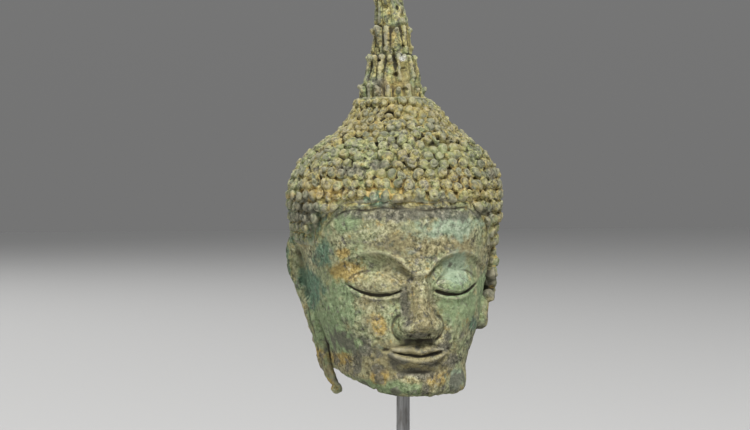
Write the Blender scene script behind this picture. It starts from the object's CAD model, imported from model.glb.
import math

import bpy
import numpy as np
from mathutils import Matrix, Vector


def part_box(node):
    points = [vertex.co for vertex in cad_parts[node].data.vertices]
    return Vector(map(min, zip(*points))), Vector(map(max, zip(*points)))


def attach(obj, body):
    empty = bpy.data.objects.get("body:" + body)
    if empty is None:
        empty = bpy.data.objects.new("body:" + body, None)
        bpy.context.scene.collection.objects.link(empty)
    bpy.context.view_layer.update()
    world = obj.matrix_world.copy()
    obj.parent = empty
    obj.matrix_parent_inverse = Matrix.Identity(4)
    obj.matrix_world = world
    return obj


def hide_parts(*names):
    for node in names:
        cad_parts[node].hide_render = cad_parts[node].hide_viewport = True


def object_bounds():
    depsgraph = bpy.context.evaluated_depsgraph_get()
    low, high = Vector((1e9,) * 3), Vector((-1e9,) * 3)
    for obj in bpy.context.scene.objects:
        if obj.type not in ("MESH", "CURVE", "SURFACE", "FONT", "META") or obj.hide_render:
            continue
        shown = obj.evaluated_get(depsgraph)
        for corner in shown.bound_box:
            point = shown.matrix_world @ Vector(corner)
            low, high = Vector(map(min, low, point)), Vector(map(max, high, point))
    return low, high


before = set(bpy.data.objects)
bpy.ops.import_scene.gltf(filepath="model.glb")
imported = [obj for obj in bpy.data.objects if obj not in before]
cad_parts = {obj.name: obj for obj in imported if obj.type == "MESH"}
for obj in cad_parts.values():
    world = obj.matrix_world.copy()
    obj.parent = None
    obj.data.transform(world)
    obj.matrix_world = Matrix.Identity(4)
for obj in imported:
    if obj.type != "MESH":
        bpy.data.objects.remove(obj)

import openvdb
from mathutils import Vector

# The head is modelled in its own frame, in millimetres: z = 0 just under the whole ear's lobe, the
# z axis up the finial, the face towards -Y. The CAD boxes place it, the rod and the foot.
CAD_LOW, CAD_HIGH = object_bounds()
HEAD_TOP = 259.0  # the finial's end above z = 0
HEAD_FROM_ROD = (-3.0, 9.0)
MM = 0.001
TURN = 2 * math.pi

rod_low, rod_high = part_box("rod")
foot_low, foot_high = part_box("foot")
ROD_MIDDLE = np.array([(rod_low.x + rod_high.x) / 2, (rod_low.y + rod_high.y) / 2, 0])
HEAD_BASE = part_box("head")[1].z - HEAD_TOP * MM
HEAD_ORIGIN = ROD_MIDDLE + (HEAD_FROM_ROD[0] * MM, HEAD_FROM_ROD[1] * MM, HEAD_BASE)

NEAR_CELLS = 6  # cells on each side of a surface that hold a true distance
MOST_TRIANGLES = 196000  # in one piece of the head


# ---- small maths
def ramp(low, high, value):
    """0 below low, 1 above high, smooth between them."""
    t = np.clip((np.asarray(value, float) - low) / (high - low), 0, 1)
    return t * t * (3 - 2 * t)


def bell(distance, width):
    return np.exp(-((distance / width) ** 2))


def mix(a, b, t):
    return a + (b - a) * t


def curve(points):
    """A smooth curve through [position, value] points, held level past both ends."""
    xs, ys = np.array(points, float).T
    last = len(xs) - 1
    before = np.maximum(np.arange(last + 1) - 1, 0)
    after = np.minimum(np.arange(last + 1) + 1, last)
    slope = (ys[after] - ys[before]) / (xs[after] - xs[before])

    def value(at):
        at = np.clip(np.asarray(at, float), xs[0], xs[-1])
        i = np.clip(np.searchsorted(xs, at, side="right") - 1, 0, last - 1)
        h = xs[i + 1] - xs[i]
        t = (at - xs[i]) / h
        return (
            (1 + 2 * t) * (1 - t) ** 2 * ys[i]
            + t * (1 - t) ** 2 * h * slope[i]
            + t * t * (3 - 2 * t) * ys[i + 1]
            + t * t * (t - 1) * h * slope[i + 1]
        )

    return value


def smooth_min(a, b, k):
    h = np.maximum(k - np.abs(a - b), 0) / k
    return np.minimum(a, b) - h * h * k * 0.25


def smooth_max(a, b, k):
    return -smooth_min(-a, -b, k)


LATTICE = 32  # random values along each side of the block that noise repeats


def noise(points, scale, seed):
    """Smooth noise from -1 to 1 at points (..., 3), with lumps about scale across."""
    table = np.random.default_rng(seed).random((LATTICE,) * 3).astype(np.float32) * 2 - 1
    q = np.asarray(points) / scale + 100.37
    i = np.floor(q).astype(np.int64)
    f = (q - i).astype(np.float32)
    f = f * f * (3 - 2 * f)
    i %= LATTICE
    j = (i + 1) % LATTICE
    x, y, z = (np.stack([i[..., k], j[..., k]]) for k in range(3))
    fx, fy, fz = f[..., 0], f[..., 1], f[..., 2]

    def along_x(b, c):
        return mix(table[x[0], y[b], z[c]], table[x[1], y[b], z[c]], fx)

    return mix(mix(along_x(0, 0), along_x(1, 0), fy), mix(along_x(0, 1), along_x(1, 1), fy), fz)


# ---- the head's skin
HAIRLINE = 113.0  # height of the hairline over the forehead
HAIR_END = 175.0  # where the curls end and the finial starts
WALL = 5.5  # thickness of the cast bronze
HOLLOW_TOP = 158.0
BAND_WIDTH = 1.4  # plain band between the hairline and the first curls
SQUARENESS = 2.2  # power of the superellipse that the head is from above

# Profiles against height: how far the skin lies out to the sides, to the front and to the back.
half_width = curve(
    [[0, 30], [12, 37], [30, 42.5], [50, 49], [72, 52.5], [92, 57], [113, 59.4], [124, 59.2]]
    + [[131, 57], [138, 52.8], [146, 45.8], [154, 35.6], [162, 28.2], [175, 20]]
)
front_depth = curve(
    [[0, 52], [8, 58], [20, 60], [50, 61.5], [80, 63], [100, 64.5], [113, 63.5], [124, 60.5]]
    + [[131, 57.2], [138, 52.4], [146, 45.5], [154, 36], [162, 28.5], [175, 20]]
)
back_depth = curve(
    [[0, 38], [22, 50], [45, 63], [75, 73], [100, 76.5], [118, 75], [131, 69], [138, 62.8]]
    + [[146, 54.5], [154, 42.5], [162, 32], [175, 21.5]]
)
# Height of the broken edge against degrees from the face, turning towards +X.
break_height = curve(
    [[-180, 26], [-130, 22], [-90, 18.5], [-60, 14.5], [-31, 8.8], [-20, 5.2], [-5, 4.3]]
    + [[30, 4.4], [50, 6.5], [62, 9.5], [90, 17], [130, 21], [180, 26]]
)
# How far the middle of the head and its finial has bent sideways.
lean = curve(
    [[135, 0], [148, 1.2], [166, 1.2], [177, -1.5], [215, -2], [230, -3], [244, -6], [258, -8.5]]
)


def skin(angle, z):
    """Points of the bare skin at angles from the face, turning towards +X, at heights z."""
    c, s = np.cos(angle), np.sin(angle)
    x = half_width(z) * np.sign(s) * np.abs(s) ** (2 / SQUARENESS) + lean(z)
    reach = np.abs(c) ** (2 / SQUARENESS)
    y = np.where(c > 0, -front_depth(z) * reach, back_depth(z) * reach)
    return np.stack([x, y, np.broadcast_to(np.asarray(z, float), x.shape)], -1)


def outward(angle, z):
    """Unit normals of the bare skin."""
    along = skin(angle + 0.02, z) - skin(angle - 0.02, z)
    up = skin(angle, np.asarray(z) + 1.0) - skin(angle, np.asarray(z) - 1.0)
    normal = np.cross(along, up)
    return normal / np.linalg.norm(normal, axis=-1, keepdims=True)


def signed_degrees(angle):
    return np.degrees(np.where(angle > math.pi, angle - TURN, angle))


LEFT_TEMPLE = 51.0  # from the middle of the forehead to the hair over each temple
RIGHT_TEMPLE = 43.0
TEMPLE_ROUND = 17.0  # radius of the hairline's corners
EAR_TOP = 90.0
EAR_BACK = 14.0  # below the ears' tops the hair begins this far behind the head's axis


def past_hairline(x, y, z):
    """How far points lie past the hairline, in mm; negative on the face."""
    behind = y - EAR_BACK
    beside = np.where(x < 0, -x - LEFT_TEMPLE, x - RIGHT_TEMPLE) + TEMPLE_ROUND
    wave = 0.6 * np.sin(x / 6.1 + 0.8) + 0.4 * np.sin(x / 2.7)  # the line is not quite level
    above = z - HAIRLINE + TEMPLE_ROUND + wave
    corner = np.where((beside > 0) & (above > 0), np.hypot(beside, above), np.maximum(beside, above))
    return np.where(z < EAR_TOP, behind, np.maximum(corner - TEMPLE_ROUND, behind))


def in_curls(x, y, z):
    """How far points lie inside the field of curls, which starts past the plain band."""
    return past_hairline(x, y, z) - BAND_WIDTH * ramp(82, 92, z)


# ---- the face
# Heights of the lines of the eyes and brows, against the distance from the middle of the face.
brow_line = curve([[4, 75], [12, 83], [24, 87.5], [36, 85], [47, 77]])
slit_line = curve([[9, 65.5], [16, 63.4], [24, 62.8], [32, 64.6], [39, 68.5]])
fold_line = curve([[9, 69], [16, 74.5], [24, 76.5], [32, 75.5], [40, 70.5]])
# Against height: how far the nose stands out, and how wide its bridge is.
nose_height = curve([[37.5, 0], [41, 9.5], [45.5, 15], [53, 12.6], [64, 8], [74, 5], [86, 1.5], [94, 0]])
nose_width = curve([[38, 8.5], [45, 8.2], [53, 6.3], [64, 5], [74, 5.4], [88, 9]])


def nose(m, z):
    """Relief of the nose at a distance m from the middle of the face."""
    bridge = nose_height(z) * np.exp(-((m / nose_width(z)) ** 2.6))
    wing = 6.8 * bell(m - 9.6, 3.9) * bell(z - 44.6, 4.4)
    crease = -1.1 * bell(np.hypot((m - 8.6) / 5.8, (z - 44.6) / 6.4) - 1.12, 0.16) * ramp(9, 12, m)
    nostril = -3.6 * bell(m - 5.2, 2.1) * bell(z - 40.2, 1.5)
    return bridge + wing + crease + nostril


def eye(m, z):
    """Relief of a lowered eye under its brow."""
    below_brow = ramp(-1, 4, brow_line(m) - z)
    socket = -4.8 * bell(m - 21, 15) * bell(z - 75, 8) * below_brow
    ridge = 1.7 * bell(z - brow_line(m), 1.9) * ramp(51, 44, m)
    lid = 6.6 * bell(m - 23.5, 12) * bell(z - 69, 6.2)
    inner = ramp(8.5, 12, m)
    outer = ramp(41, 36, m)
    slit = -2.3 * bell(z - slit_line(m), 0.95) * inner * outer
    lashes = 0.7 * bell(z - slit_line(m) - 1.9, 1.1) * inner * outer
    lower_lid = 1.1 * bell(z - slit_line(m) + 2.3, 1.5) * inner * outer
    fold = -1.0 * bell(z - fold_line(m), 1.0) * inner * outer
    return socket + ridge + lid + slit + lashes + lower_lid + fold


def mouth(m, z):
    """Relief of the closed lips."""
    parting = 28.4 + 0.009 * m * m - 0.5 * bell(m, 3.5)
    top = 34.6 + 0.6 * bell(m - 5, 4) - 0.9 * bell(m, 2.5) - 0.0115 * m * m
    low = 21.6 + 0.023 * m * m
    up = np.clip((z - parting) / np.maximum(top - parting, 0.8), 0, 1)
    down = np.clip((parting - z) / np.maximum(parting - low, 0.8), 0, 1)
    ends = ramp(19.5, 14, m)
    muzzle = 3.4 * bell(m, 21) * bell(z - 29, 12)
    upper = 3.1 * (4 * up * (1 - up)) ** 0.7 * ends
    lower = 3.7 * (4 * down * (1 - down)) ** 0.65 * ends
    between = -1.5 * bell(z - parting, 0.9) * ramp(21, 17, m)
    corner = -1.3 * bell(m - 18.8, 2.6) * bell(z - 31.4, 2.4)
    under_lip = -1.9 * bell(m, 13) * bell(z - 18.6, 2.8)
    groove = -0.9 * bell(m, 2.2) * ramp(41, 38.5, z) * ramp(34, 36, z)
    return muzzle + upper + lower + between + corner + under_lip + groove


def face_relief(x, z):
    """How far the face stands out towards -Y from the bare skin."""
    m = np.abs(x)
    chin = 3.6 * bell(m, 12) * bell(z - 10.5, 6.5)
    cheek = 3.0 * bell(m - 30, 14) * bell(z - 48, 15)
    return nose(m, z) + eye(m, z) + mouth(m, z) + chin + cheek


# ---- the sculpting grid
class Grid:
    """A block of signed distances in mm: negative inside the bronze."""

    def __init__(self, low, high, voxel):
        self.voxel = voxel
        self.start = np.floor(np.array(low) / voxel).astype(int)
        self.shape = tuple(int(n) for n in np.ceil(np.array(high) / voxel).astype(int) - self.start + 1)
        self.transform = openvdb.createLinearTransform(voxelSize=voxel)
        self.d = np.full(self.shape, NEAR_CELLS * voxel, np.float32)

    def corner(self):
        return tuple(int(v) for v in self.start)

    def from_mesh(self, points, quads, triangles):
        """The distances to a closed mesh."""
        level_set = openvdb.FloatGrid.createLevelSetFromPolygons(
            np.ascontiguousarray(points, np.float32),
            triangles=np.ascontiguousarray(triangles, np.uint32),
            quads=np.ascontiguousarray(quads, np.uint32),
            transform=self.transform,
            halfWidth=float(NEAR_CELLS),
        )
        made = np.empty(self.shape, np.float32)
        level_set.copyToArray(made, ijk=self.corner())
        return made

    def window(self, low, high):
        """The part of the grid between two points: its slices and its x, y and z."""
        a = np.clip(np.floor(np.array(low) / self.voxel).astype(int) - self.start, 0, None)
        b = np.minimum(np.ceil(np.array(high) / self.voxel).astype(int) - self.start + 1, self.shape)
        axes = [((np.arange(a[k], b[k]) + self.start[k]) * self.voxel).astype(np.float32) for k in range(3)]
        slices = tuple(slice(a[k], b[k]) for k in range(3))
        return slices, axes[0][:, None, None], axes[1][None, :, None], axes[2][None, None, :]

    def everywhere(self):
        """The x, y and z of the whole grid."""
        low = self.start * self.voxel
        return self.window(low, low + np.array(self.shape) * self.voxel)[1:]

    def join(self, low, high, distance, blend):
        """Joins a shape, given as a function of x, y and z, with a soft fillet."""
        part, x, y, z = self.window(low, high)
        if all(p.stop > p.start for p in part):
            self.d[part] = smooth_min(self.d[part], distance(x, y, z).astype(np.float32), blend)

    def polygons(self):
        """The surface where the distance is zero: points, quads and triangles."""
        level_set = openvdb.FloatGrid(NEAR_CELLS * self.voxel)
        level_set.transform = self.transform
        level_set.gridClass = openvdb.GridClass.LEVEL_SET
        level_set.copyFromArray(self.d, ijk=self.corner(), tolerance=0.0)
        points, triangles, quads = level_set.convertToPolygons(0.0, 0.0)
        faces = np.array(quads, int)[:, ::-1]
        return np.array(points, float), faces, np.array(triangles, int).reshape(-1, 3)[:, ::-1]

    def sample(self, values, points):
        """Values of an array on the grid, read at points in mm."""
        q = points / self.voxel - self.start
        i = np.clip(np.floor(q).astype(int), 0, np.array(self.shape) - 2)
        f = q - i
        total = 0
        for corner in np.ndindex(2, 2, 2):
            weight = np.prod([f[:, k] if corner[k] else 1 - f[:, k] for k in range(3)], axis=0)
            total = total + weight * values[i[:, 0] + corner[0], i[:, 1] + corner[1], i[:, 2] + corner[2]]
        return total

    def blurred(self, reach):
        """The distances averaged over a cube that reaches this many mm each way."""
        cells = max(1, round(reach / self.voxel))
        limit = NEAR_CELLS * self.voxel
        out = np.clip(self.d, -limit, limit)
        for axis in range(3):
            pad = [(cells + 1, cells) if k == axis else (0, 0) for k in range(3)]
            total = np.cumsum(np.pad(out, pad, mode="edge"), axis=axis, dtype=np.float64)
            size = out.shape[axis]
            ahead = np.take(total, range(2 * cells + 1, 2 * cells + 1 + size), axis=axis)
            behind = np.take(total, range(size), axis=axis)
            out = ((ahead - behind) / (2 * cells + 1)).astype(np.float32)
        return out


def ring_mesh(rings, bottom, top):
    """Points, quads and triangles of a closed tube of rings (rows, columns, 3), going up."""
    rows, columns = rings.shape[:2]
    points = np.concatenate([rings.reshape(-1, 3), [bottom], [top]])
    index = np.arange(rows * columns).reshape(rows, columns)
    following = np.roll(index, -1, axis=1)
    quads = np.stack([index[:-1], following[:-1], following[1:], index[1:]], -1).reshape(-1, 4)
    low_fan = np.stack([np.full(columns, rows * columns), following[0], index[0]], -1)
    high_fan = np.stack([np.full(columns, rows * columns + 1), index[-1], following[-1]], -1)
    return points, quads, np.concatenate([low_fan, high_fan])


# ---- parts of the sculpture
def skin_body(grid, under_curls):
    """The bare head with its face and the raised band along the hairline."""
    columns, rows = 560, 300
    rows_below_hair = 190
    angle = np.arange(columns) / columns * TURN
    degrees = signed_degrees(angle)
    low_edge = break_height(degrees)[None, :] - 5  # the break itself is cut afterwards
    share = np.minimum(np.arange(rows) / rows_below_hair, 1)[:, None]
    above = np.maximum(np.arange(rows) - rows_below_hair, 0)[:, None] / (rows - 1 - rows_below_hair)
    z = mix(low_edge, HAIRLINE, share) + (HAIR_END + 2 - HAIRLINE) * above
    angles = np.broadcast_to(angle, z.shape)
    p = skin(angles, z)
    hair = past_hairline(p[..., 0], p[..., 1], z)
    curls = in_curls(p[..., 0], p[..., 1], z)
    on_face = np.where(p[..., 1] < 0, ramp(62, 50, np.abs(p[..., 0])), 0) * ramp(0.5, -1.5, hair)
    p[..., 1] -= face_relief(p[..., 0], z) * on_face
    normal = outward(angles, z)
    band = 0.6 * (ramp(-0.4, 0.4, hair) - ramp(0.4, 1.6, curls)) * ramp(82, 92, z)
    groove = -0.65 * bell(hair + 1.1, 0.9) * ramp(84, 94, z) * (0.7 + 0.6 * noise(p, 9, 43))
    torn_lip = 4.2 * bell(degrees - 52, 15)[None, :] * bell(z - 8, 9)
    fill = 0.9 * ramp(132, 118, z) + 0.6 * noise(p, 8, 41)
    rim = 0.9 * bell(z - low_edge - 8, 3)
    mud = (0.1 + fill) * ramp(0.5, 3, curls) * under_curls
    p += normal * (band + groove + torn_lip + rim + mud)[..., None]
    return grid.from_mesh(*ring_mesh(p, (0, -6, 12), (0, 0, HAIR_END + 5)))


def cut_break(grid):
    """Breaks the skin off along the jaw and the nape, with a ragged edge."""
    part, x, y, z = grid.window((-80, -90, -6), (80, 90, 36))
    degrees = np.degrees(np.arctan2(x, -y + 0 * x))
    flat = np.stack([x + 0 * y, y + 0 * x, 0 * x + 0 * y], -1)[:, :, 0]
    ragged = 1.3 * noise(flat, 6.5, 11) + 0.8 * noise(flat, 2.6, 12)
    calm = mix(0.35, 1.0, ramp(20, 60, np.abs(degrees)))
    edge = break_height(degrees) + ragged[:, :, None] * calm
    grid.d[part] = smooth_max(grid.d[part], (edge - z).astype(np.float32), 1.0)


CURL_PITCH = 6.5  # from curl to curl along a row above the hairline
ROW_PITCH = 6.1  # from row to row there
LOWER_ROWS = 15  # rows between the break and the hairline
LOWER_CURLS = 63  # places in each of them, all the way round
CURL_SIZE = 3.5
CURL_RISE = 4.3
CURL_SWIRL = 0.38  # depth of the spiral groove
SWIRL_PITCH = 2.0
CURL_REACH = 6.2  # a curl lies within this of its centre


def ring_length(z):
    """Length of the scalp's outline at a height."""
    angle = np.arange(73) / 72 * TURN
    return np.linalg.norm(np.diff(skin(angle, np.full(73, z)), axis=0), axis=1).sum()


def crown_scale(z):
    """Curls shrink towards the finial."""
    return 1 - 0.24 * ramp(146, 166, z)


def curl_places():
    """Angle and height of every curl: staggered rows, as far apart along as across."""
    places = []
    for row in range(1, LOWER_ROWS):
        for c in range(LOWER_CURLS):
            angle = (c + 0.5 * (row % 2)) / LOWER_CURLS * TURN
            low = float(break_height(signed_degrees(angle)))
            places.append((angle, mix(low, HAIRLINE, row / LOWER_ROWS)))
    z, run, next_row, rows = HAIRLINE, 0.0, 0.0, 0
    step = 0.1
    while z < HAIR_END:
        if run >= next_row:
            curls = round(ring_length(z) / (CURL_PITCH * crown_scale(z)))
            places += [((2 * c + 1 + rows % 2) / (2 * curls) * TURN, z) for c in range(curls)]
            rows += 1
            next_row += ROW_PITCH * crown_scale(z)
        run += math.hypot(step, float(half_width(z + step) - half_width(z)))
        z += step
    angle, z = np.array(places).T
    x, y, _ = skin(angle, z).T
    keep = in_curls(x, y, z) > 1.8
    return angle[keep], z[keep]


def add_curl(grid, centre, n, random, worn=0.0, scale=1.0):
    """A snail-shell curl along the normal n: a dome with a spiral groove and a dimple, a little uneven."""
    roll = random.normal(0, 0.6)
    level = np.cross((0, 0, 1), n)
    level /= np.linalg.norm(level)
    across = math.cos(roll) * level + math.sin(roll) * np.cross(n, level)
    up = np.cross(n, across)
    size = CURL_SIZE * scale * random.uniform(0.88, 1.12)
    rise = CURL_RISE * scale * random.uniform(0.72, 1.12) * (1 - 0.4 * max(worn, 0))
    stretch = random.uniform(0.92, 1.24)
    spin = random.uniform(0, TURN)
    swirl = CURL_SWIRL * random.uniform(0.3, 1.3)
    dimple = random.uniform(0.0, 0.5)
    start = centre + 0.4 * n

    def distance(x, y, z):
        dx, dy, dz = x - start[0], y - start[1], z - start[2]
        w = dx * n[0] + dy * n[1] + dz * n[2]
        u = (dx * across[0] + dy * across[1] + dz * across[2]) * stretch
        v = (dx * up[0] + dy * up[1] + dz * up[2]) / stretch
        r = np.hypot(u, v)
        dome = (np.sqrt((r / size) ** 2 + (w / rise) ** 2) - 1) * min(size, rise)
        spiral = np.cos(np.arctan2(v, u) - r * (TURN / SWIRL_PITCH) + spin)
        relief = swirl * spiral * np.clip(r / 1.2, 0, 1) + dimple * bell(r, 0.9)
        return dome + relief * (w > 0)

    grid.join(centre - CURL_REACH, centre + CURL_REACH, distance, 0.3)


def add_curls(grid):
    """Every curl on the scalp, a little out of place, lower where the hair is worn."""
    random = np.random.default_rng(21)
    angle, z = curl_places()
    angle = angle + random.normal(0, 0.018, len(angle))
    z = z + random.normal(0, 0.8, len(z))
    centres = skin(angle, z)
    normals = outward(angle, z)
    worn = noise(centres, 20, 31)
    for centre, n, wear, scale in zip(centres, normals, worn, crown_scale(z)):
        add_curl(grid, centre, n, random, wear, scale)


# Columns of curls on the broken ear: how far out, how far back, and the height of the lowest.
EAR_CURLS = [(57.8, -3.0, 59), (59.6, 3.2, 57), (60.4, 9.5, 84), (59.5, 16.0, 88)]


def add_curls_on_ear(grid):
    """Curls that have spread over the front edge and the top of the broken ear."""
    random = np.random.default_rng(22)
    for column, (x, y, lowest) in enumerate(EAR_CURLS):
        for z in np.arange(lowest + 3.0 * (column % 2), 99, 6.2):
            place = np.array([x - 1.5 * ramp(72, 58, z), y, z]) + random.normal(0, 0.9, 3) * (0.5, 1, 1)
            direction = np.array([0.95, 0.05 * (y - 8), 0.1])
            add_curl(grid, place, direction / np.linalg.norm(direction), random)


# ---- the finial
TIERS = [
    {"from": 172, "to": 187, "radius": 20.0, "tip": 3.4, "tongues": 9},
    {"from": 187, "to": 205, "radius": 17.0, "tip": 1.8, "tongues": 9},
    {"from": 205, "to": 222, "radius": 12.3, "tip": 2.8, "tongues": 6},
    {"from": 222, "to": 241, "radius": 9.5, "tip": 1.6, "tongues": 6},
]
STUMP = {"from": 241, "to": 257, "radius": 6.5, "end": 2.4}
CORE_SHARES = (0.95, 0.93, 0.90, 0.88, 0.9)  # of the radius of each tier and of the stump
GRAINS = 32  # small curls in the ring at the finial's foot
# A strand that winds over the third and fourth tier: turn, radius and height of its bends.
SCROLL = [(0.36, 7.6, 234), (0.66, 8.4, 231), (0.42, 8.8, 227.8), (0.22, 9.0, 225), (0.5, 9.4, 223)]


def bar_distance(x, y, z, a, b, ra, rb):
    """Distance to a round bar that tapers from radius ra at a to rb at b."""
    ax = b[0] - a[0], b[1] - a[1], b[2] - a[2]
    length = ax[0] ** 2 + ax[1] ** 2 + ax[2] ** 2
    t = np.clip(((x - a[0]) * ax[0] + (y - a[1]) * ax[1] + (z - a[2]) * ax[2]) / length, 0, 1)
    gap = np.sqrt((x - a[0] - t * ax[0]) ** 2 + (y - a[1] - t * ax[1]) ** 2 + (z - a[2] - t * ax[2]) ** 2)
    return gap - mix(ra, rb, t)


def add_bar(grid, a, b, ra, rb, blend):
    """Joins a round bar to the grid."""
    reach = max(ra, rb) + 3
    low, high = np.minimum(a, b) - reach, np.maximum(a, b) + reach
    grid.join(low, high, lambda x, y, z: bar_distance(x, y, z, a, b, ra, rb), blend)


def on_finial(turn, radius, z):
    """A point beside the finial's bent axis, turned from the face towards +X."""
    return np.array([float(lean(z)) + radius * math.sin(turn), -radius * math.cos(turn), z])


def add_core(grid):
    """The finial's plain core, which the tongues and ribs stand on."""
    rings = [(tier["from"], tier["radius"] * share) for tier, share in zip(TIERS + [STUMP], CORE_SHARES)]
    core = curve(rings + [(STUMP["to"], STUMP["end"])])

    def core_distance(x, y, z):
        side = np.hypot(x - lean(z), y) * 0.97 - core(z)
        return smooth_max(side, np.maximum(TIERS[0]["from"] - 4 - z, z - STUMP["to"] - 1), 2.0)

    grid.join((-30, -27, 160), (27, 27, 264), core_distance, 1.0)


def add_grains(grid, random):
    """The ring of small curls at the finial's foot."""
    for j in range(GRAINS):
        turn = j / GRAINS * TURN + random.normal(0, 0.05)
        grain = on_finial(turn, random.uniform(17.6, 19), 172.5 + random.normal(0, 1))
        add_bar(grid, grain, grain + (0, 0, 1), random.uniform(1.6, 2.2), 1.6, 0.5)


def add_tongue(grid, random, tier, turn, neck):
    """An upright tongue whose pointed tip turns outwards."""
    thick = min(3.9, tier["radius"] * math.pi / tier["tongues"] * 0.52) * random.uniform(0.85, 1.15)
    top = tier["to"] - 4.6 + random.uniform(-1.4, 0.8)
    foot = on_finial(turn, tier["radius"] - thick, tier["from"] - 1)
    waist = on_finial(turn, neck - thick * 0.9, top - 3.5)
    tip = on_finial(turn, neck + tier["tip"] * random.uniform(0.5, 1.15) - 1.2, top + 0.8)
    add_bar(grid, foot, waist, thick * 1.1, thick, 0.9)
    add_bar(grid, waist, tip, thick, 1.3, 1.2)


def add_beaded_rib(grid, tier, turn, neck):
    """A thin upright rib of beads."""
    low, high = tier["from"], tier["to"]
    beads = max(4, round((high - low) / 2.8))
    for b in range(beads):
        share = (b + 0.5) / beads
        bead = on_finial(turn, mix(tier["radius"], neck, share) - 1.2, mix(low, high - 3, share))
        add_bar(grid, bead - (0, 0, 0.6), bead + (0, 0, 0.6), 1.7, 1.6, 0.7)


def add_finial(grid):
    """Tiers of upright tongues with thin beaded ribs between them, and a strand that winds over them."""
    random = np.random.default_rng(5)
    add_core(grid)
    add_grains(grid, random)
    for k, (tier, above) in enumerate(zip(TIERS, TIERS[1:] + [STUMP])):
        count = tier["tongues"]
        neck = mix(tier["radius"], above["radius"], 0.55)
        for j in range(count):
            turn = (j + 0.5 * (k % 2)) / count * TURN + random.normal(0, 0.04)
            add_tongue(grid, random, tier, turn, neck)
            add_beaded_rib(grid, tier, turn + 0.5 / count * TURN, neck)
    for start, end in zip(SCROLL, SCROLL[1:]):
        add_bar(grid, on_finial(*start), on_finial(*end), 1.7, 1.6, 0.6)


# ---- ears and hollow
# Stations of each ear going up: height, how far out it reaches, its middle in y, half its depth,
# half its thickness, and the degrees by which its back stands off the head.
EARS = {
    "whole": [
        [2, 36.5, -5, 1.8, 1.5, 4],
        [5, 38.5, -5, 3.6, 2.3, 4],
        [10, 42.5, -4, 5.5, 2.6, 5],
        [18, 46.5, -2, 7.2, 3.2, 6],
        [32, 50, 0, 8, 4, 8],
        [48, 55.5, 3, 9.5, 4.2, 15],
        [62, 60.5, 6, 12, 4, 26],
        [76, 64.5, 9, 14, 4, 32],
        [86, 65.5, 10, 13, 3.8, 32],
        [93, 64, 9, 8, 3.2, 26],
        [97, 61, 8, 3, 2.4, 20],
    ],
    "broken": [
        [38.5, 54, -4, 3, 2.8, 8],
        [41, 57, -4, 6, 5.2, 8],
        [48, 58.5, -3, 7.5, 6.2, 10],
        [55, 60.5, -1, 8.5, 5.6, 16],
        [62, 62, 5, 9.5, 3.2, 26],
        [70, 63, 8, 12, 3.2, 30],
        [78, 62.5, 9, 13.5, 3.6, 30],
        [86, 61.5, 9.5, 12, 3.8, 30],
        [92, 60, 9, 8, 3.2, 26],
        [96, 58, 8, 3, 2.4, 20],
    ],
}
LOBE_END = np.array([(-37.6, -5.2, 4.4), (-36.9, -5.4, 3.0)])  # a small knob under the whole ear


def ear_body(grid, stations, side):
    """A long ear: rim, hollow and a lobe with a groove, leaning out at the top."""
    table = np.array(stations, float)
    outer, centre_y, half_deep, half_thick, flare = (
        curve(np.stack([table[:, 0], table[:, k]], -1)) for k in range(1, 6)
    )
    rows, columns = 150, 64
    v = np.linspace(0, 1, rows)
    z = mix(table[0, 0], table[-1, 0], v)[:, None]
    t = np.arange(columns)[None, :] / columns * TURN
    turn = np.radians(flare(z))
    deep, thick = half_deep(z), half_thick(z)
    reach = deep * np.sin(turn) + thick * np.cos(turn)
    back = np.cos(t) * deep
    face = np.clip(np.sin(t), 0, 1)
    u = np.cos(t)
    hollow = 3.4 * bell(u + 0.1, 0.52) * ramp(54, 62, z) * ramp(92, 84, z)
    inner_fold = 1.7 * bell(u - 0.32, 0.13) * ramp(58, 66, z) * ramp(90, 82, z)
    lobe_groove = 1.5 * bell(u + 0.05, 0.2) * ramp(10, 17, z) * ramp(58, 50, z)
    open_front = 4.5 * bell(u + 0.45, 0.3) * ramp(57, 62, z) * ramp(86, 78, z) * (side > 0)
    out = np.sin(t) * thick - face * (hollow - inner_fold + lobe_groove + open_front)
    x = side * (outer(z) - reach + back * np.sin(turn) + out * np.cos(turn))
    y = centre_y(z) + back * np.cos(turn) - out * np.sin(turn)
    rings = np.stack([x, y, z + 0 * x], -1)
    if side > 0:
        rings = rings[:, ::-1]
    return grid.from_mesh(*ring_mesh(rings, rings[0].mean(0), rings[-1].mean(0)))


def hollow_body(grid):
    """The space inside the casting."""
    rows, columns = 90, 160
    dome_from = 136  # height from which the ceiling closes in
    z = np.linspace(-12, HOLLOW_TOP, rows)[:, None]
    angle = np.broadcast_to(np.arange(columns) / columns * TURN, (rows, columns))
    p = skin(angle, np.maximum(z, 0) + 0 * angle)
    radius = np.hypot(p[..., 0], p[..., 1])
    dome = np.sqrt(1 - 0.7 * np.clip((z - dome_from) / (HOLLOW_TOP - dome_from), 0, 1) ** 2)
    share = (radius - WALL) / radius * dome
    rings = np.stack([p[..., 0] * share, p[..., 1] * share, z + 0 * share], -1)
    return grid.from_mesh(*ring_mesh(rings, rings[0].mean(0), rings[-1].mean(0)))


def skin_grid():
    """The face, the ears, the wall and the hollow."""
    grid = Grid((-74, -84, -4), (74, 84, 186), 0.6)
    grid.d = skin_body(grid, 0)
    cut_break(grid)
    for name, side in (("whole", -1), ("broken", 1)):
        grid.d = smooth_min(grid.d, ear_body(grid, EARS[name], side), 1.6)
    add_curls_on_ear(grid)
    add_bar(grid, *LOBE_END, 2.3, 2.2, 0.8)
    grid.d = smooth_max(grid.d, -hollow_body(grid), 0.8)
    return grid


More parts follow.
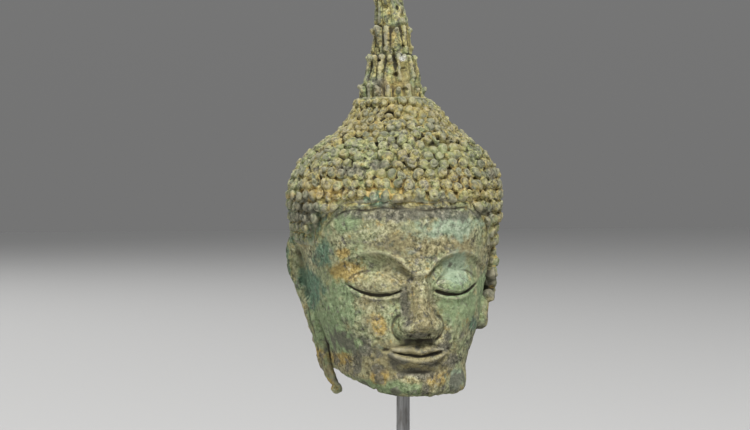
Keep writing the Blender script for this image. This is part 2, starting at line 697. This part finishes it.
def curls_grid():
    """The field of curls alone: a thin shell over the skin that dives under it along its edge."""
    grid = Grid((-73, -84, 12), (74, 84, 184), 0.5)
    grid.d = skin_body(grid, 1)
    cut_break(grid)
    inside = grid.d + 1.4
    add_curls(grid)
    depth = in_curls(*grid.everywhere()).astype(np.float32)
    grid.d += 1.8 * ramp(1.6, 0.4, depth).astype(np.float32)
    grid.d = np.maximum(np.maximum(grid.d, -inside), 0.2 - depth)
    return grid


def finial_grid():
    """The finial, which reaches down into the crown."""
    grid = Grid((-31, -28, 162), (28, 28, 264), 0.42)
    add_finial(grid)
    return grid


# ---- corrosion and patina
def corrosion(points, coarse, fine):
    """How far the surface stands out or is eaten away, in mm."""
    broad = coarse * (0.35 * noise(points, 9, 1) + 0.3 * noise(points, 4.4, 2))
    grain = fine * (noise(points, 2.4, 3) + 0.6 * noise(points, 1.4, 8))
    scab = coarse * 0.5 * ramp(0.1, 0.35, noise(points, 5.5, 4)) * ramp(-0.2, 0.3, noise(points, 21, 7))
    pits = -0.9 * coarse * ramp(0.38, 0.7, noise(points, 2.9, 5)) * ramp(-0.2, 0.4, noise(points, 15, 6))
    on_hanging_lobe = ramp(-38, -42, points[:, 0]) * ramp(34, 24, points[:, 2])
    return broad + grain * (1 + 2 * on_hanging_lobe) + scab + pits


# Patches of patina on the front half: middle x, middle z, half width, half height.
PATCHES = {
    "green": [
        (-44, 50, 8, 23), (-41, 104, 7, 6), (26, 57, 12, 13), (-18, 10, 22, 4),
        (48, 60, 8, 14), (-38, 34, 8, 7),
    ],
    "mint": [(18, 102, 19, 6), (22, 78, 10, 7), (26, 12, 7, 7)],
    "teal": [(-50, 84, 4, 7), (38, 43, 4.5, 4.5), (-25, 117, 6, 4), (-52, 66, 4, 10)],
    "ochre": [
        (-38, 76, 8, 4.5), (-41, 87, 3, 2.5), (-22, 48, 4.5, 6), (-38, 24, 4, 3),
        (-20, 16, 5, 4), (12, 14, 8, 4), (60, 49, 4, 7), (-47, 121, 7, 3), (-64, 118, 3, 2),
        (-48, 25, 3, 3), (-42, 7, 3, 3),
    ],
    "brown": [
        (-2, 22, 30, 13), (0, 52, 9, 12), (8, 92, 30, 7), (57, 60, 6, 16), (-45, 16, 5, 9),
        (4, 12, 16, 5),
    ],
    "dark": [
        (0, 109.5, 44, 3.4), (-8, 56, 2.6, 12), (19.5, 80, 1.4, 1.4), (45, 32, 5, 9),
        (-4, 40, 9, 2), (-12, 184, 4, 5), (-6, 246, 3, 8), (-22, 20, 4, 2.5),
        (-12, 25, 5, 2.5), (21, 24, 5, 4), (16, 33, 4, 2), (2, 17, 12, 2.5), (-28, 30, 4, 3),
        (-39, 134, 8, 3), (-22, 137, 5, 2), (-59, 110, 4, 8), (50, 132, 5, 3), (46, 110, 4, 3),
        (57, 65, 4, 9), (57, 46, 2, 3),
    ],
    "white": [(0.9, 200.5, 1.5, 2.5)],
}


def patches(points, places):
    """How strongly a kind of patina covers points: 1 in the middle of a patch, 0 away from all."""
    x, y, z = points.T
    ragged = 0.45 * noise(points, 9, 51) + 0.3 * noise(points, 3.6, 52)
    cover = np.zeros(len(points))
    for px, pz, half_wide, half_high in places:
        away = np.hypot((x - px) / half_wide, (z - pz) / half_high)
        cover = np.maximum(cover, ramp(1.9, 0.3, away + ragged))
    return cover * ramp(25, 10, y)


def patina_fields(points, grid):
    """Values that the material reads at every vertex: the strength of each kind of patina, and more."""
    x, y, z = points.T
    fields = {kind: patches(points, places) for kind, places in PATCHES.items()}
    finial = ramp(170, 178, z)
    on_ear = ramp(57.5, 60, x) * ramp(53, 60, z) * ramp(-9, -6, y)
    hair = np.maximum(np.maximum(ramp(-0.5, 1.5, past_hairline(x, y, z)), finial), on_ear)
    # The lower rows of curls hold earth; at the sides they are blue-green and green instead.
    low_left = ramp(-44, -54, x) * ramp(122, 108, z)
    low_right = ramp(46, 58, x) * ramp(116, 96, z)
    fields["hair"] = hair
    low_rows = np.maximum(ramp(138, 122, z) * ramp(40, 5, x) * (1 - 0.8 * low_left), on_ear)
    fields["mud"] = np.clip(0.1 + 0.7 * low_rows + 0.6 * noise(points, 16, 61), 0, 1) * hair
    fields["green"] = np.maximum(fields["green"], hair * np.clip(0.5 * low_right + 0.3 * finial, 0, 1))
    fields["teal"] = np.maximum(fields["teal"], 0.6 * low_left * hair)
    mottles = 0.9 * ramp(48, 34, z) * ramp(-0.1, 0.35, noise(points, 5, 62))
    fields["dark"] = np.maximum(fields["dark"], mottles)
    # From -1 on the tips of the relief to 1 in its deepest grooves.
    fields["recess"] = np.clip(-grid.sample(grid.blurred(2.0), points) / 0.8, -1, 1)
    return fields


# ---- meshes and objects
def new_object(name, points, faces, smooth=True):
    data = bpy.data.meshes.new(name)
    data.from_pydata(points, [], faces)
    data.update()
    if smooth:
        data.polygons.foreach_set("use_smooth", [True] * len(data.polygons))
    made = bpy.data.objects.new(name, data)
    bpy.context.collection.objects.link(made)
    return made


def vertex_normals(points, faces):
    cross = np.cross(points[faces[:, 2]] - points[faces[:, 0]], points[faces[:, 3]] - points[faces[:, 1]])
    normals = np.zeros_like(points)
    for k in range(4):
        for axis in range(3):
            normals[:, axis] += np.bincount(faces[:, k], cross[:, axis], len(points))
    return normals / np.maximum(np.linalg.norm(normals, axis=1, keepdims=True), 1e-9)


def bronze_object(name, grid, coarse, fine):
    """A piece of the head, meshed from its grid, corroded, and thinned where it is smooth."""
    points, quads, triangles = grid.polygons()
    fields = patina_fields(points, grid)
    points += vertex_normals(points, quads) * corrosion(points, coarse, fine)[:, None]
    made = new_object(name, points * MM + HEAD_ORIGIN, quads.tolist() + triangles.tolist())
    for field, values in fields.items():
        attribute = made.data.attributes.new(field, "FLOAT", "POINT")
        attribute.data.foreach_set("value", values.astype(np.float32))
    thin = made.modifiers.new("thin", "DECIMATE")
    thin.ratio = min(1.0, MOST_TRIANGLES / (2 * len(quads) + len(triangles)))
    thinned = made.evaluated_get(bpy.context.evaluated_depsgraph_get())
    made.data = bpy.data.meshes.new_from_object(thinned)
    made.modifiers.clear()
    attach(made, "root")
    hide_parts("head")
    return made


def rod_object():
    """A drawn steel rod with eased ends."""
    radius = (rod_high.x - rod_low.x) / 2 / MM
    low, high = rod_low.z / MM, rod_high.z / MM
    ease, sides = 0.6, 64
    heights = np.linspace(low + ease, high - ease, 60)
    profile = [(radius - ease, low)] + [(radius, h) for h in heights] + [(radius - ease, high)]
    turn = np.arange(sides) / sides * TURN
    rings = np.array([[(r * math.cos(a), r * math.sin(a), h) for a in turn] for r, h in profile])
    points, quads, triangles = ring_mesh(rings, (0, 0, low), (0, 0, high))
    made = new_object("rod_steel", points * MM + ROD_MIDDLE, quads.tolist() + triangles.tolist())
    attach(made, "root")
    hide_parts("rod")
    return made


def foot_object():
    """A square block with rounded edges and a socket for the rod, as rings from below to the socket."""
    half = (foot_high.x - foot_low.x) / 2 / MM
    height = (foot_high.z - foot_low.z) / MM
    socket_radius, socket_depth, edge = 4.3, 22.0, 2.5
    sides = 256
    turn = np.arange(sides) / sides * TURN

    def ring(reach, corner, h):
        """A square with rounded corners; a circle where corner is as large as reach."""
        c, s = np.cos(turn), np.sin(turn)
        flat = reach - corner
        share = np.maximum(np.abs(c), np.abs(s))
        square = np.stack([c / share, s / share], -1) * flat
        return np.concatenate([square + np.stack([c, s], -1) * corner, np.full((sides, 1), h)], -1)

    inner = half - edge
    eased = [(edge * math.sin(a), edge * math.cos(a)) for a in np.linspace(0, math.pi / 2, 7)]
    rings = [ring(r, r * 0.1, 0.0) for r in np.linspace(2, inner, 12)]
    rings += [ring(inner + out, 2 + out, edge - down) for out, down in eased]
    rings += [ring(half, 2 + edge, h) for h in np.linspace(edge, height - edge, 10)[1:-1]]
    rings += [ring(inner + out, 2 + out, height - edge + up) for up, out in eased]
    for share in np.linspace(0, 1, 16)[1:]:
        reach = mix(inner, socket_radius + 0.8, share)
        rings.append(ring(reach, mix(2, reach, ramp(0.6, 1, share)), height))
    rings.append(ring(socket_radius, socket_radius, height - 0.8))
    rings.append(ring(socket_radius, socket_radius, height - socket_depth))
    points, quads, triangles = ring_mesh(np.array(rings), (0, 0, 0), (0, 0, height - socket_depth))
    middle = np.array([(foot_low.x + foot_high.x) / 2, (foot_low.y + foot_high.y) / 2, foot_low.z])
    made = new_object("foot_wood", points * MM + middle, quads.tolist() + triangles.tolist())
    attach(made, "root")
    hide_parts("foot")
    return made


# ---- materials
class Finish:
    """A node material under construction. Sizes of textures are given in mm."""

    def __init__(self, name):
        self.material = bpy.data.materials.new(name)
        self.material.use_nodes = True
        self.tree = self.material.node_tree
        self.shader = self.tree.nodes["Principled BSDF"].inputs
        self.place = self.tree.nodes.new("ShaderNodeTexCoord").outputs["Object"]

    def put(self, value, socket):
        if isinstance(value, bpy.types.NodeSocket):
            self.tree.links.new(value, socket)
        else:
            socket.default_value = value

    def noise(self, size, detail=4.0, roughness=0.6, stretch=(1, 1, 1), seed=0):
        place = self.tree.nodes.new("ShaderNodeMapping")
        self.put(self.place, place.inputs["Vector"])
        place.inputs["Location"].default_value = [17.3 * seed] * 3
        place.inputs["Scale"].default_value = [1 / (k * size * MM) for k in stretch]
        node = self.tree.nodes.new("ShaderNodeTexNoise")
        self.put(place.outputs["Vector"], node.inputs["Vector"])
        node.inputs["Scale"].default_value = 1
        node.inputs["Detail"].default_value = detail
        node.inputs["Roughness"].default_value = roughness
        return node.outputs["Fac"]

    def field(self, name):
        node = self.tree.nodes.new("ShaderNodeAttribute")
        node.attribute_name = name
        return node.outputs["Fac"]

    def math(self, operation, a, b, c=0.0):
        node = self.tree.nodes.new("ShaderNodeMath")
        node.operation = operation
        for value, socket in zip((a, b, c), node.inputs):
            self.put(value, socket)
        return node.outputs["Value"]

    def spread(self, value, low, high, to_low=0.0, to_high=1.0):
        """to_low where value is low, to_high where it is high, smooth between them."""
        node = self.tree.nodes.new("ShaderNodeMapRange")
        node.interpolation_type = "SMOOTHSTEP"
        self.put(value, node.inputs["Value"])
        node.inputs["From Min"].default_value = min(low, high)
        node.inputs["From Max"].default_value = max(low, high)
        node.inputs["To Min"].default_value = to_low if low < high else to_high
        node.inputs["To Max"].default_value = to_high if low < high else to_low
        return node.outputs["Result"]

    def mix(self, share, a, b):
        node = self.tree.nodes.new("ShaderNodeMix")
        node.data_type = "RGBA"
        self.put(share, node.inputs["Factor"])
        for value, socket in ((a, node.inputs["A"]), (b, node.inputs["B"])):
            self.put((*value, 1) if isinstance(value, tuple) else value, socket)
        return node.outputs["Result"]

    def ramp(self, value, stops, colours):
        """A colour for each value: the first colour at the first stop and below, and so on."""
        node = self.tree.nodes.new("ShaderNodeValToRGB")
        self.put(value, node.inputs["Fac"])
        elements = node.color_ramp.elements
        while len(elements) < len(stops):
            elements.new(0.5)
        for element, stop, colour in zip(elements, stops, colours):
            element.position = stop
            element.color = (*colour, 1)
        return node.outputs["Color"]

    def bump(self, height, depth, strength):
        """Relief that is depth mm deep where height goes from 0 to 1."""
        node = self.tree.nodes.new("ShaderNodeBump")
        node.inputs["Strength"].default_value = strength
        node.inputs["Distance"].default_value = depth * MM
        self.put(height, node.inputs["Height"])
        self.put(node.outputs["Normal"], self.shader["Normal"])


# Colours of each crust, from its pits to its highest grains.
BEIGE = [(0.052, 0.05, 0.026), (0.165, 0.16, 0.083), (0.35, 0.342, 0.192), (0.60, 0.585, 0.38)]
KHAKI = [(0.03, 0.026, 0.011), (0.128, 0.11, 0.041), (0.315, 0.275, 0.102), (0.54, 0.475, 0.205)]
CRUSTS = {
    "brown": [(0.04, 0.033, 0.017), (0.13, 0.108, 0.051), (0.285, 0.245, 0.122), (0.48, 0.415, 0.235)],
    "green": [(0.04, 0.06, 0.027), (0.12, 0.17, 0.078), (0.24, 0.325, 0.165), (0.42, 0.50, 0.30)],
    "ochre": [(0.075, 0.05, 0.015), (0.24, 0.165, 0.045), (0.45, 0.32, 0.095), (0.62, 0.49, 0.21)],
    "teal": [(0.016, 0.032, 0.021), (0.045, 0.095, 0.062), (0.11, 0.21, 0.14), (0.27, 0.38, 0.26)],
    "mint": [(0.09, 0.125, 0.075), (0.205, 0.28, 0.18), (0.35, 0.435, 0.31), (0.51, 0.585, 0.45)],
    "dark": [(0.018, 0.018, 0.013), (0.06, 0.059, 0.044), (0.145, 0.138, 0.105), (0.32, 0.295, 0.225)],
}
MUD = [(0.10, 0.066, 0.018), (0.31, 0.215, 0.06), (0.51, 0.375, 0.125), (0.66, 0.53, 0.24)]
# The pale chip on the finial, the earth between the curls and the dark tips of curls.
CHIP = [(0.35, 0.34, 0.30), (0.55, 0.54, 0.50), (0.70, 0.69, 0.65), (0.80, 0.79, 0.76)]
SLATE = [(0.02, 0.024, 0.016), (0.062, 0.072, 0.046), (0.13, 0.148, 0.096), (0.26, 0.28, 0.185)]
STOPS = (0.30, 0.42, 0.54, 0.68)  # of the grain, for those four colours


def patinated_bronze():
    finish = Finish("patinated_bronze")
    big = finish.noise(26, 3)
    middle = finish.noise(6.5, 4, 0.65)
    grain = finish.noise(2.3, 5, 0.72)
    spots = finish.noise(4.5, 5, 0.72, seed=1)
    stains = finish.noise(5.5, 5, 0.72, seed=2)
    chalk = finish.noise(3.0, 4, 0.7, seed=3)
    clumps = finish.noise(13, 4, 0.6, seed=4)
    recess = finish.field("recess")
    hair = finish.field("hair")

    # The grain is fainter in the green and mint crusts, and comes and goes over the rest.
    smooth_crust = finish.math("ADD", finish.field("green"), finish.field("mint"))
    smooth = finish.spread(smooth_crust, 0.2, 0.9, 1, 0.7)
    uneven_grain = finish.spread(finish.noise(19, 3, 0.5, seed=5), 0.42, 0.58, 0.6, 1.15)
    rough = finish.math("MULTIPLY", uneven_grain, smooth)
    even_grain = finish.math("MULTIPLY_ADD", finish.math("ADD", grain, -0.5), rough, 0.5)

    def crust(colours):
        return finish.ramp(even_grain, STOPS, colours)

    colour = finish.mix(hair, crust(BEIGE), crust(KHAKI))
    colour = finish.mix(finish.spread(big, 0.46, 0.62, 0, 0.5), colour, crust(CRUSTS["green"]))
    colour = finish.mix(finish.spread(big, 0.48, 0.36, 0, 0.6), colour, crust(CRUSTS["brown"]))
    colour = finish.mix(finish.spread(stains, 0.55, 0.66, 0, 0.65), colour, crust(CRUSTS["ochre"]))
    uneven = finish.math("MULTIPLY_ADD", middle, 2.0, finish.math("MULTIPLY_ADD", spots, 1.4, -1.7))
    for kind, colours in CRUSTS.items():
        cover = finish.spread(finish.math("ADD", finish.field(kind), uneven), 0.15, 0.85, 0, 0.85)
        colour = finish.mix(cover, colour, crust(colours))
    chipped = finish.spread(finish.math("ADD", finish.field("white"), uneven), 0.5, 0.9, 0, 0.9)
    colour = finish.mix(chipped, colour, crust(CHIP))
    speckles = finish.math("MULTIPLY", finish.spread(spots, 0.52, 0.63, 0, 0.85), rough)
    colour = finish.mix(speckles, colour, crust(CRUSTS["dark"]))
    bloom = finish.math("MULTIPLY", finish.spread(chalk, 0.58, 0.70, 0, 0.45), rough)
    colour = finish.mix(bloom, colour, (0.58, 0.56, 0.40))

    # Earth between the curls, dark slate on some of their tips, black grooves and pale edges.
    depth = finish.math("MULTIPLY_ADD", grain, 0.5, finish.math("ADD", recess, -0.25))
    mud = finish.math("MULTIPLY", finish.field("mud"), finish.spread(depth, -0.12, 0.12))
    colour = finish.mix(mud, colour, crust(MUD))
    on_some = finish.spread(clumps, 0.49, 0.58, 0, 0.85)
    tips = finish.math("MULTIPLY", finish.spread(depth, -0.1, -0.4), on_some)
    colour = finish.mix(finish.math("MULTIPLY", tips, hair), colour, crust(SLATE))
    colour = finish.mix(finish.spread(depth, 0.06, 0.5, 0, 0.95), colour, (0.025, 0.021, 0.013))
    colour = finish.mix(finish.spread(depth, -0.25, -0.75, 0, 0.3), colour, (0.60, 0.55, 0.38))
    finish.put(colour, finish.shader["Base Color"])
    finish.put(finish.spread(grain, 0.3, 0.7, 0.72, 0.95), finish.shader["Roughness"])
    finish.shader["Specular IOR Level"].default_value = 0.3
    finish.bump(finish.math("MULTIPLY_ADD", grain, 0.7, finish.math("MULTIPLY", stains, 0.3)), 2.2, 0.8)
    return finish.material


def drawn_steel():
    finish = Finish("drawn_steel")
    lines = finish.noise(0.5, 3, 0.6, (1, 1, 60))
    stain = finish.noise(9, 4, 0.65, (1, 1, 3))
    colour = finish.mix(finish.spread(lines, 0.3, 0.7), (0.2, 0.2, 0.197), (0.36, 0.36, 0.355))
    colour = finish.mix(finish.spread(stain, 0.5, 0.7, 0, 0.5), colour, (0.075, 0.05, 0.033))
    finish.put(colour, finish.shader["Base Color"])
    finish.put(finish.spread(stain, 0.35, 0.7, 0.3, 0.5), finish.shader["Roughness"])
    finish.shader["Metallic"].default_value = 0.85
    finish.bump(lines, 0.05, 0.3)
    return finish.material


def lacquered_wood():
    finish = Finish("lacquered_wood")
    grain = finish.noise(1.4, 5, 0.6, (28, 1, 1.5))
    pores = finish.noise(0.5, 3, 0.7, (18, 1, 1.2))
    cloud = finish.noise(30, 3)
    dust = finish.noise(1.2, 4, 0.75)
    colour = finish.mix(finish.spread(grain, 0.35, 0.65), (0.012, 0.009, 0.007), (0.035, 0.026, 0.019))
    colour = finish.mix(finish.spread(cloud, 0.45, 0.65, 0, 0.5), colour, (0.028, 0.022, 0.017))
    colour = finish.mix(finish.spread(dust, 0.6, 0.75, 0, 0.12), colour, (0.2, 0.18, 0.15))
    finish.put(colour, finish.shader["Base Color"])
    finish.put(finish.spread(cloud, 0.3, 0.7, 0.32, 0.5), finish.shader["Roughness"])
    finish.shader["Coat Weight"].default_value = 0.25
    finish.shader["Coat Roughness"].default_value = 0.25
    finish.bump(finish.math("MULTIPLY_ADD", grain, 0.5, finish.math("MULTIPLY", pores, 0.5)), 0.25, 0.4)
    return finish.material


# ---- the object
bronze = patinated_bronze()
for piece in (
    bronze_object("head_skin", skin_grid(), 1.0, 0.16),
    bronze_object("head_curls", curls_grid(), 1.4, 0.36),
    bronze_object("head_finial", finial_grid(), 2.0, 0.36),
):
    piece.data.materials.append(bronze)
rod_object().data.materials.append(drawn_steel())
foot_object().data.materials.append(lacquered_wood())

# ---- camera, light, floor
VIEW_AZIMUTH = math.radians(-12)
VIEW_ELEVATION = math.radians(1.5)
VIEW_DISTANCE = 1.25
AIM_HEIGHT = 107 * MM  # above the head's own z = 0
AIM_ASIDE = 12 * MM
LENS = 100

view_right = Vector((math.cos(VIEW_AZIMUTH), math.sin(VIEW_AZIMUTH), 0))
level, rise = math.cos(VIEW_ELEVATION), math.sin(VIEW_ELEVATION)
view_back = Vector((math.sin(VIEW_AZIMUTH) * level, -math.cos(VIEW_AZIMUTH) * level, rise))
aim = Vector(HEAD_ORIGIN) + Vector((0, 0, AIM_HEIGHT)) - view_right * AIM_ASIDE
camera_data = bpy.data.cameras.new("camera")
camera_data.lens = LENS
camera_data.sensor_width = 36
camera = bpy.data.objects.new("camera", camera_data)
bpy.context.collection.objects.link(camera)
camera.location = aim + view_back * VIEW_DISTANCE
camera.rotation_euler = (-view_back).to_track_quat("-Z", "Y").to_euler()
bpy.context.scene.camera = camera


def add_area(name, place, size, power):
    """A round soft lamp that points at the middle of the object."""
    data = bpy.data.lights.new(name, "AREA")
    data.shape = "DISK"
    data.size = size
    data.energy = power
    lamp = bpy.data.objects.new(name, data)
    lamp.location = place
    centre = Vector((0, 0, (CAD_LOW.z + CAD_HIGH.z) / 2))
    lamp.rotation_euler = (centre - lamp.location).to_track_quat("-Z", "Y").to_euler()
    bpy.context.collection.objects.link(lamp)


add_area("key", (0.25, -2.5, 3.1), 0.9, 185)
add_area("fill", (-2.8, -1.8, 1.2), 2.4, 30)
add_area("back", (-1.4, 2.6, 2.3), 2.0, 55)

floor_points = [(-6, -6, 0), (6, -6, 0), (6, 6, 0), (-6, 6, 0)]
floor = new_object("floor", floor_points, [(0, 1, 2, 3)], smooth=False)
paper = bpy.data.materials.new("paper")
paper.use_nodes = True
paper.node_tree.nodes["Principled BSDF"].inputs["Base Color"].default_value = (0.46, 0.457, 0.45, 1)
paper.node_tree.nodes["Principled BSDF"].inputs["Roughness"].default_value = 0.9
floor.data.materials.append(paper)


def studio_world(horizon, zenith):
    """A soft grey dome, as bright at the horizon as the floor is far away."""
    world = bpy.data.worlds.new("studio")
    world.use_nodes = True
    tree = world.node_tree
    place = tree.nodes.new("ShaderNodeTexCoord")
    axes = tree.nodes.new("ShaderNodeSeparateXYZ")
    rise = tree.nodes.new("ShaderNodeMapRange")
    blend = tree.nodes.new("ShaderNodeMix")
    rise.interpolation_type = "SMOOTHSTEP"
    rise.inputs["From Max"].default_value = 0.7
    blend.data_type = "RGBA"
    blend.inputs["A"].default_value = (*horizon, 1)
    blend.inputs["B"].default_value = (*zenith, 1)
    tree.links.new(place.outputs["Generated"], axes.inputs["Vector"])
    tree.links.new(axes.outputs["Z"], rise.inputs["Value"])
    tree.links.new(rise.outputs["Result"], blend.inputs["Factor"])
    tree.links.new(blend.outputs["Result"], tree.nodes["Background"].inputs["Color"])
    return world


bpy.context.scene.world = studio_world((0.175, 0.175, 0.174), (0.31, 0.313, 0.317))
bpy.context.scene.view_settings.view_transform = "Standard"
